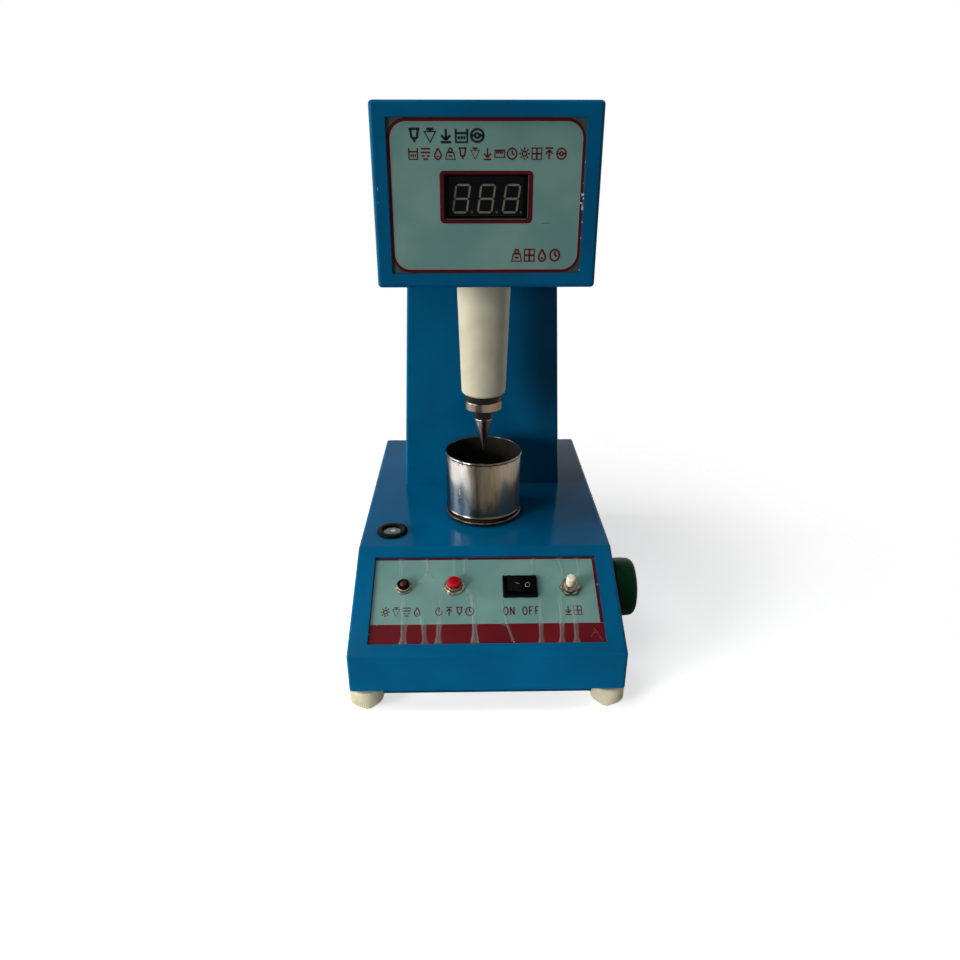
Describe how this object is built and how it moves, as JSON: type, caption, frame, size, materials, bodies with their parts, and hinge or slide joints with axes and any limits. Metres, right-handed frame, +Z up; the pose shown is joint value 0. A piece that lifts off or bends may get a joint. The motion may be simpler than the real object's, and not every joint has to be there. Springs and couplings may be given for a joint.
{
  "type": "soil liquid limit device",
  "caption": "Bench cone penetrometer for the liquid limit of soil: boxed head on a column, falling cone over a cup, sloping control panel and a side knob that lifts the stage.",
  "frame": {"origin": "on the bench plane, straight below the tip of the cone on the axis of the plunger and the cup", "axes": "+X right, +Y back, +Z up as the instrument stands facing its user at -Y"},
  "size_m": [0.1768, 0.2594, 0.3233],
  "materials": {
    "blue_enamel": "glossy sprayed enamel on folded sheet steel",
    "galvanised_sheet": "zinc-plated sheet",
    "printed_label": "printed film, pale teal with dark red",
    "bright_chrome": "bright nickel plate",
    "red_lens": "clear dark red",
    "red_plastic": "glossy",
    "ivory_plastic": "glossy",
    "black_plastic": "moulded, half gloss",
    "level_glass": "clear",
    "circuit_board": "green solder mask",
    "brass": "turned",
    "bronze": "sintered bronze",
    "ivory_tube": "smooth nylon",
    "polished_steel": "polished stainless steel",
    "machined_steel": "machined",
    "copper_winding": "taped winding",
    "nickel_cup": "spun and polished, streaked",
    "green_plastic": "dark green moulding",
    "cream_nylon": "cream nylon, knurled rim"
  },
  "bodies": {
    "frame": {"base_shell": "blue_enamel", "bottom_plate": "blue_enamel", "weld_nuts": "galvanised_sheet", "control_panel": "printed_label", "lamp_bezel": "bright_chrome", "lamp_lens": "red_lens", "reset_case": "bright_chrome", "measure_case": "bright_chrome", "panel_nuts": "bright_chrome", "rocker_case": "black_plastic", "mains_inlet": "black_plastic", "terminal_blades": "brass", "fuse_holder": "black_plastic", "transformer_core": "machined_steel", "transformer_coil": "copper_winding", "level_case": "black_plastic", "level_vial": "level_glass", "column_shell": "blue_enamel", "head_shell": "blue_enamel", "head_cover": "blue_enamel", "head_label": "printed_label", "display_module": "black_plastic", "display_board": "circuit_board", "main_board": "circuit_board", "board_spacers": "brass", "guide_tube": "ivory_tube", "bushes": "bronze", "sensor_body": "black_plastic", "magnet_pot": "machined_steel", "magnet_coil": "copper_winding", "magnet_bridge": "galvanised_sheet", "post_sleeve": "machined_steel", "shaft_bracket": "galvanised_sheet", "machine_screws": "bright_chrome"},
    "plunger": {"penetration_cone": "polished_steel", "cone_collar": "black_plastic", "ring_weight": "polished_steel", "insulating_disc": "black_plastic", "plunger_rod": "polished_steel", "armature": "machined_steel", "sensor_arm": "machined_steel"},
    "stage": {"stage_disc": "polished_steel", "lift_post": "machined_steel", "lift_arm": "machined_steel", "lift_rack": "machined_steel"},
    "cup": {"specimen_cup": "nickel_cup"},
    "knob": {"lift_knob": "green_plastic", "knob_shaft": "machined_steel", "pinion": "machined_steel"},
    "reset_button": {"reset_cap": "red_plastic"},
    "measure_button": {"measure_cap": "ivory_plastic"},
    "power_rocker": {"rocker_paddle": "black_plastic"},
    "foot_front_left_stud": {"foot_stud_front_left": "machined_steel"},
    "foot_front_left_wheel": {"foot_wheel_front_left": "cream_nylon"},
    "foot_front_right_stud": {"foot_stud_front_right": "machined_steel"},
    "foot_front_right_wheel": {"foot_wheel_front_right": "cream_nylon"},
    "foot_back_left_stud": {"foot_stud_back_left": "machined_steel"},
    "foot_back_left_wheel": {"foot_wheel_back_left": "cream_nylon"},
    "foot_back_right_stud": {"foot_stud_back_right": "machined_steel"},
    "foot_back_right_wheel": {"foot_wheel_back_right": "cream_nylon"}
  },
  "joints": [
    {"name": "plunger_fall", "type": "slide", "parent": "frame", "child": "plunger", "axis": [0, 0, -1], "range_m": [0, 0.022]},
    {"name": "stage_lift", "type": "slide", "parent": "frame", "child": "stage", "axis": [0, 0, 1], "range_m": [0, 0.01]},
    {"name": "cup_lift_off", "type": "slide", "parent": "stage", "child": "cup", "axis": [0, 0, 1], "range_m": [0, 0.004]},
    {"name": "knob_turn", "type": "hinge", "parent": "frame", "child": "knob", "pos_m": [0.08, -0.054, 0.0457], "axis": [1, 0, 0], "range_deg": [0, 95.6]},
    {"name": "reset_press", "type": "slide", "parent": "frame", "child": "reset_button", "axis": [0, 0.4095, -0.9123], "range_m": [0, 0.0025], "stiffness_N_per_m": 500},
    {"name": "measure_press", "type": "slide", "parent": "frame", "child": "measure_button", "axis": [0, 0.4095, -0.9123], "range_m": [0, 0.0025], "stiffness_N_per_m": 500},
    {"name": "power_rocker_tip", "type": "hinge", "parent": "frame", "child": "power_rocker", "pos_m": [0.0206, -0.0754, 0.06022], "axis": [0, -0.9123, -0.4095], "range_deg": [0, 18]},
    {"name": "foot_front_left_height", "type": "slide", "parent": "frame", "child": "foot_front_left_stud", "axis": [0, 0, -1], "range_m": [0, 0.005]},
    {"name": "foot_front_left_turn", "type": "hinge", "parent": "foot_front_left_stud", "child": "foot_front_left_wheel", "pos_m": [-0.0714, -0.1084, 0], "axis": [0, 0, -1], "range_deg": [0, 1440.1]},
    {"name": "foot_front_right_height", "type": "slide", "parent": "frame", "child": "foot_front_right_stud", "axis": [0, 0, -1], "range_m": [0, 0.005]},
    {"name": "foot_front_right_turn", "type": "hinge", "parent": "foot_front_right_stud", "child": "foot_front_right_wheel", "pos_m": [0.0714, -0.1084, 0], "axis": [0, 0, -1], "range_deg": [0, 1440.1]},
    {"name": "foot_back_left_height", "type": "slide", "parent": "frame", "child": "foot_back_left_stud", "axis": [0, 0, -1], "range_m": [0, 0.005]},
    {"name": "foot_back_left_turn", "type": "hinge", "parent": "foot_back_left_stud", "child": "foot_back_left_wheel", "pos_m": [-0.0714, 0.125, 0], "axis": [0, 0, -1], "range_deg": [0, 1440.1]},
    {"name": "foot_back_right_height", "type": "slide", "parent": "frame", "child": "foot_back_right_stud", "axis": [0, 0, -1], "range_m": [0, 0.005]},
    {"name": "foot_back_right_turn", "type": "hinge", "parent": "foot_back_right_stud", "child": "foot_back_right_wheel", "pos_m": [0.0714, 0.125, 0], "axis": [0, 0, -1], "range_deg": [0, 1440.1]}
  ],
  "couplings": [
    {"joint": "knob_turn", "follows": "stage_lift", "rad_per_m": 166.67},
    {"joint": "foot_front_left_turn", "follows": "foot_front_left_height", "rad_per_m": 5026.5},
    {"joint": "foot_front_right_turn", "follows": "foot_front_right_height", "rad_per_m": 5026.5},
    {"joint": "foot_back_left_turn", "follows": "foot_back_left_height", "rad_per_m": 5026.5},
    {"joint": "foot_back_right_turn", "follows": "foot_back_right_height", "rad_per_m": 5026.5}
  ]
}
